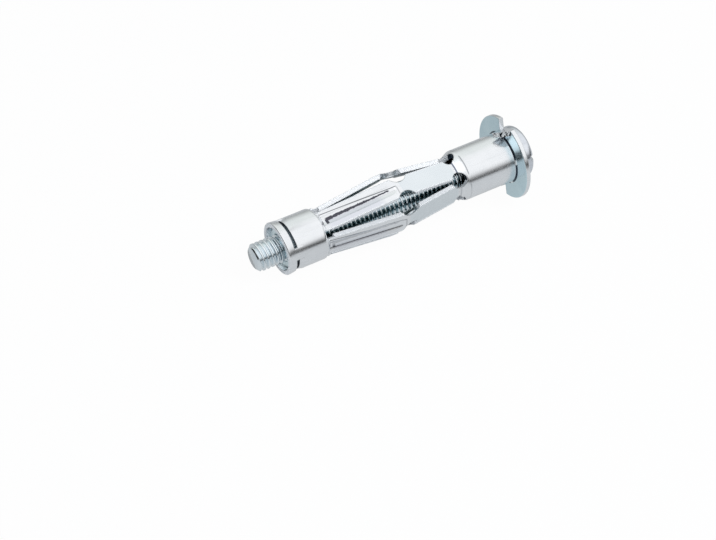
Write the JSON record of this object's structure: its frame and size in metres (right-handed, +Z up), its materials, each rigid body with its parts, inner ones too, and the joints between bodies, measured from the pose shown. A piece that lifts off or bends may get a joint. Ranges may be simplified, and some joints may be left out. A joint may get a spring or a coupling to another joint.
{
  "type": "hollow wall anchor",
  "caption": "Metal anchor for hollow walls: a flanged steel sleeve with folding legs, a captive round nut at its tail and a long pan-head screw.",
  "frame": {"origin": "on the surface that the anchor lies on, under the middle of its bounding box", "axes": "+Z up, +X along the lying anchor towards the screw's head, so the screw's tip points to -X, +Y across it"},
  "size_m": [0.0642, 0.0182, 0.0177],
  "materials": {
    "zinc_plated_sheet": "bright zinc plate with a bluish cast",
    "zinc_plated_nut": "bright zinc plate, a little duller than the sleeve",
    "zinc_plated_screw": "bright zinc plate over a rolled thread"
  },
  "bodies": {
    "sleeve": {"sleeve": "zinc_plated_sheet", "nut": "zinc_plated_nut"},
    "screw": {"screw": "zinc_plated_screw"}
  },
  "joints": [
    {"name": "screw_withdraw", "type": "slide", "parent": "sleeve", "child": "screw", "axis": [0.9982, 0, 0.0596], "range_m": [0, 0.065]}
  ]
}
